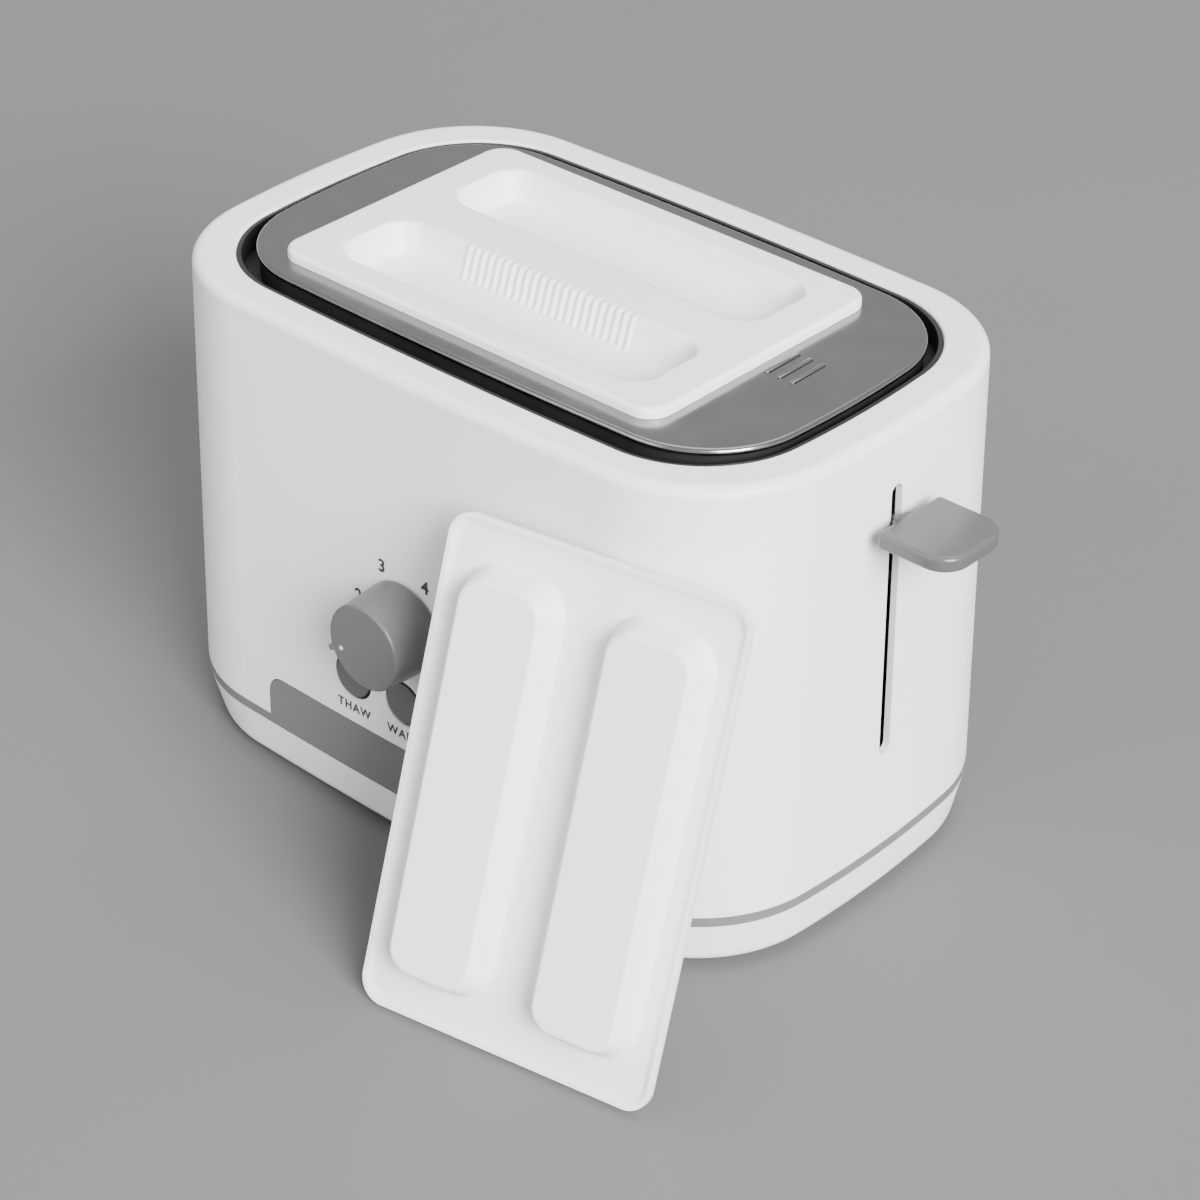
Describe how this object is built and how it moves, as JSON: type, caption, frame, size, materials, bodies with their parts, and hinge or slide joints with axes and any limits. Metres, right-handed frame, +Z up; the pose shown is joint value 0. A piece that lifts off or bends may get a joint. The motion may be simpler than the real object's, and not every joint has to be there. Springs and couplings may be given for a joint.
{
  "type": "pop up toaster",
  "caption": "Pop-up toaster with bread slots along its length, lift-off dust cover, end lever, browning dial, push buttons and slide-out crumb tray.",
  "frame": {"origin": "on the worktop plane, under the middle of the body", "axes": "+X towards the lever end, -Y towards the front with the dial and buttons, +Z up"},
  "size_m": [0.291, 0.2371, 0.1835],
  "materials": {
    "white_plastic": "fine satin moulded",
    "cover_plastic": "satin moulded",
    "trim_plastic": "satin grey",
    "knob_plastic": "satin mid grey",
    "pointer_plastic": "satin light grey",
    "lever_plastic": "smooth light grey",
    "black_plastic": "matt black",
    "tray_plastic": "satin moulded",
    "top_steel": "brushed along the length",
    "sheet_steel": "mill finish",
    "galvanised": "aluminised sheet",
    "rod_steel": "ground",
    "screw_steel": "zinc plated",
    "brass": "machined",
    "rubber": "matt",
    "mica": "mica sheet",
    "ribbon": "resistance ribbon",
    "circuit_board": "phenolic board",
    "component": "moulded",
    "copper": "enamelled winding"
  },
  "bodies": {
    "housing": {"outer_shell": "white_plastic", "base_shell": "white_plastic", "trim_band": "trim_plastic", "top_collar": "black_plastic", "button_frame": "black_plastic", "contact_block": "black_plastic", "terminal_block": "black_plastic", "cord_gland": "black_plastic", "top_plate": "top_steel", "magnet_core": "sheet_steel", "magnet_bracket": "sheet_steel", "left_end_plate": "galvanised", "right_end_plate": "galvanised", "front_reflector": "galvanised", "back_reflector": "galvanised", "guide_rods": "rod_steel", "carriage_springs": "rod_steel", "base_screws": "screw_steel", "chassis_screws": "screw_steel", "board_screws": "screw_steel", "board_standoffs": "brass", "contact_blades": "brass", "rubber_feet": "rubber", "control_board": "circuit_board", "board_components": "component", "button_switches": "component", "browning_potentiometer": "component", "magnet_coil": "copper", "front_outer_heater_board": "mica", "front_outer_heater_ribbon": "ribbon", "front_inner_heater_board": "mica", "front_inner_heater_ribbon": "ribbon", "back_outer_heater_board": "mica", "back_outer_heater_ribbon": "ribbon", "back_inner_heater_board": "mica", "back_inner_heater_ribbon": "ribbon"},
    "tray": {"crumb_tray": "sheet_steel", "crumb_tray_handle": "tray_plastic"},
    "dust_cover": {"dust_cover": "cover_plastic"},
    "spare_cover": {"spare_dust_cover": "cover_plastic"},
    "knob": {"browning_knob": "knob_plastic", "knob_pointer": "pointer_plastic", "knob_shaft": "rod_steel"},
    "defrost": {"defrost_button": "knob_plastic"},
    "reheat": {"reheat_button": "knob_plastic"},
    "cancel": {"cancel_button": "knob_plastic"},
    "carriage": {"carriage_bracket": "sheet_steel", "carriage_bushes": "brass", "lever_arm": "sheet_steel", "lever_paddle": "lever_plastic", "latch_armature": "sheet_steel", "front_bread_rack": "sheet_steel", "back_bread_rack": "sheet_steel"},
    "front_outer_guide": {"front_outer_bread_guide": "sheet_steel"},
    "front_inner_guide": {"front_inner_bread_guide": "sheet_steel"},
    "back_outer_guide": {"back_outer_bread_guide": "sheet_steel"},
    "back_inner_guide": {"back_inner_bread_guide": "sheet_steel"}
  },
  "joints": [
    {"name": "carriage_slide", "type": "slide", "parent": "housing", "child": "carriage", "axis": [0, 0, -1], "range_m": [-0.009, 0.072], "stiffness_N_per_m": 60, "springref_m": -0.0167, "deforming": ["carriage_springs"]},
    {"name": "browning_dial", "type": "hinge", "parent": "housing", "child": "knob", "pos_m": [-0.00175, -0.082, 0.0884], "axis": [0, 1, 0], "range_deg": [-25.5, 249.5]},
    {"name": "defrost_press", "type": "slide", "parent": "housing", "child": "defrost", "axis": [0, 1, 0], "range_m": [0, 0.0022], "stiffness_N_per_m": 400},
    {"name": "reheat_press", "type": "slide", "parent": "housing", "child": "reheat", "axis": [0, 1, 0], "range_m": [0, 0.0022], "stiffness_N_per_m": 400},
    {"name": "cancel_press", "type": "slide", "parent": "housing", "child": "cancel", "axis": [0, 1, 0], "range_m": [0, 0.0022], "stiffness_N_per_m": 400},
    {"name": "tray_slide", "type": "slide", "parent": "housing", "child": "tray", "axis": [-1, 0, 0], "range_m": [0, 0.19]},
    {"name": "cover_lift", "type": "slide", "parent": "housing", "child": "dust_cover", "axis": [0, 0, 1], "range_m": [0, 0.1]},
    {"name": "spare_cover_lift", "type": "slide", "parent": "housing", "child": "spare_cover", "axis": [0, 0, 1], "range_m": [0, 0.1]},
    {"name": "front_outer_guide_tilt", "type": "hinge", "parent": "housing", "child": "front_outer_guide", "pos_m": [-0.0048, -0.0417, 0.04], "axis": [-1, 0, 0], "range_deg": [-0.5, 3.1]},
    {"name": "front_inner_guide_tilt", "type": "hinge", "parent": "housing", "child": "front_inner_guide", "pos_m": [-0.0048, -0.0107, 0.04], "axis": [1, 0, 0], "range_deg": [-0.5, 3.1]},
    {"name": "back_outer_guide_tilt", "type": "hinge", "parent": "housing", "child": "back_outer_guide", "pos_m": [-0.0048, 0.0417, 0.04], "axis": [1, 0, 0], "range_deg": [-0.5, 3.1]},
    {"name": "back_inner_guide_tilt", "type": "hinge", "parent": "housing", "child": "back_inner_guide", "pos_m": [-0.0048, 0.0107, 0.04], "axis": [-1, 0, 0], "range_deg": [-0.5, 3.1]}
  ],
  "couplings": [
    {"joint": "front_outer_guide_tilt", "follows": "carriage_slide", "rad_per_m": 0.7272},
    {"joint": "front_inner_guide_tilt", "follows": "carriage_slide", "rad_per_m": 0.7272},
    {"joint": "back_outer_guide_tilt", "follows": "carriage_slide", "rad_per_m": 0.7272},
    {"joint": "back_inner_guide_tilt", "follows": "carriage_slide", "rad_per_m": 0.7272}
  ]
}
